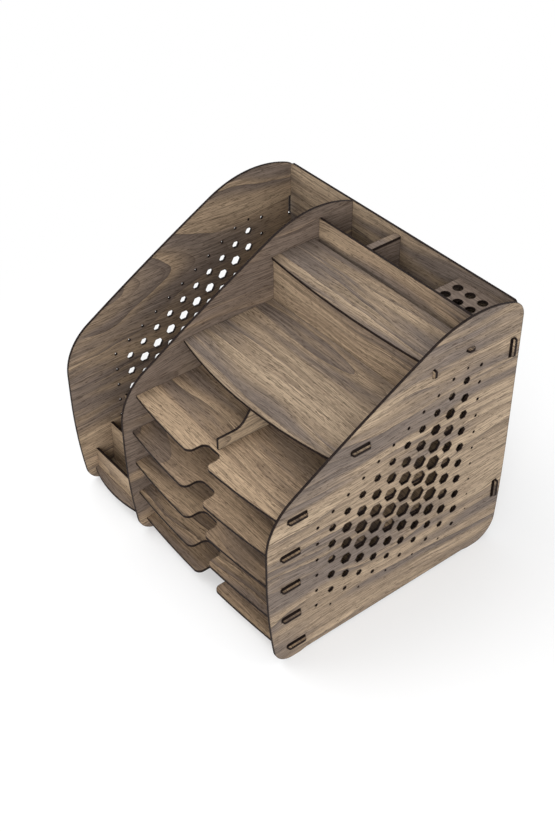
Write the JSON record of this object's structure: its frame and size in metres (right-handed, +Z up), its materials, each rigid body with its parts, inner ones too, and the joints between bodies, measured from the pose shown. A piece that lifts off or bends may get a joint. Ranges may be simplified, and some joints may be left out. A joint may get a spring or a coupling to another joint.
{
  "type": "document rack",
  "caption": "Flat-pack wooden desk rack with open letter trays, a stepped top with a pen box, and an upright binder bay between perforated side panels.",
  "frame": {"origin": "middle of the bounding box at floor level", "axes": "+X to the right seen from the front, +Y to the back, +Z up"},
  "size_m": [0.3674, 0.3264, 0.3324],
  "materials": {
    "walnut_side": "satin walnut veneer, grain front to back, charred cut edges",
    "walnut_shelf": "satin walnut veneer, grain left to right, charred cut edges",
    "walnut_cross": "satin walnut veneer, grain left to right, charred cut edges"
  },
  "bodies": {
    "root": {"left_side_panel": "walnut_side", "middle_panel": "walnut_side", "right_side_panel": "walnut_side", "pen_divider": "walnut_side", "brush_divider": "walnut_side", "tray_divider": "walnut_side", "tray_1": "walnut_shelf", "tray_2": "walnut_shelf", "tray_3": "walnut_shelf", "tray_4": "walnut_shelf", "tray_5": "walnut_shelf", "upper_shelf": "walnut_shelf", "step_shelf": "walnut_shelf", "pen_strip": "walnut_shelf", "brush_plate": "walnut_shelf", "binder_base": "walnut_shelf", "back_panel": "walnut_cross", "riser_board": "walnut_cross", "pen_front_panel": "walnut_cross", "binder_lip": "walnut_cross", "binder_middle_board": "walnut_cross", "binder_stop_board": "walnut_cross"}
  },
  "joints": []
}
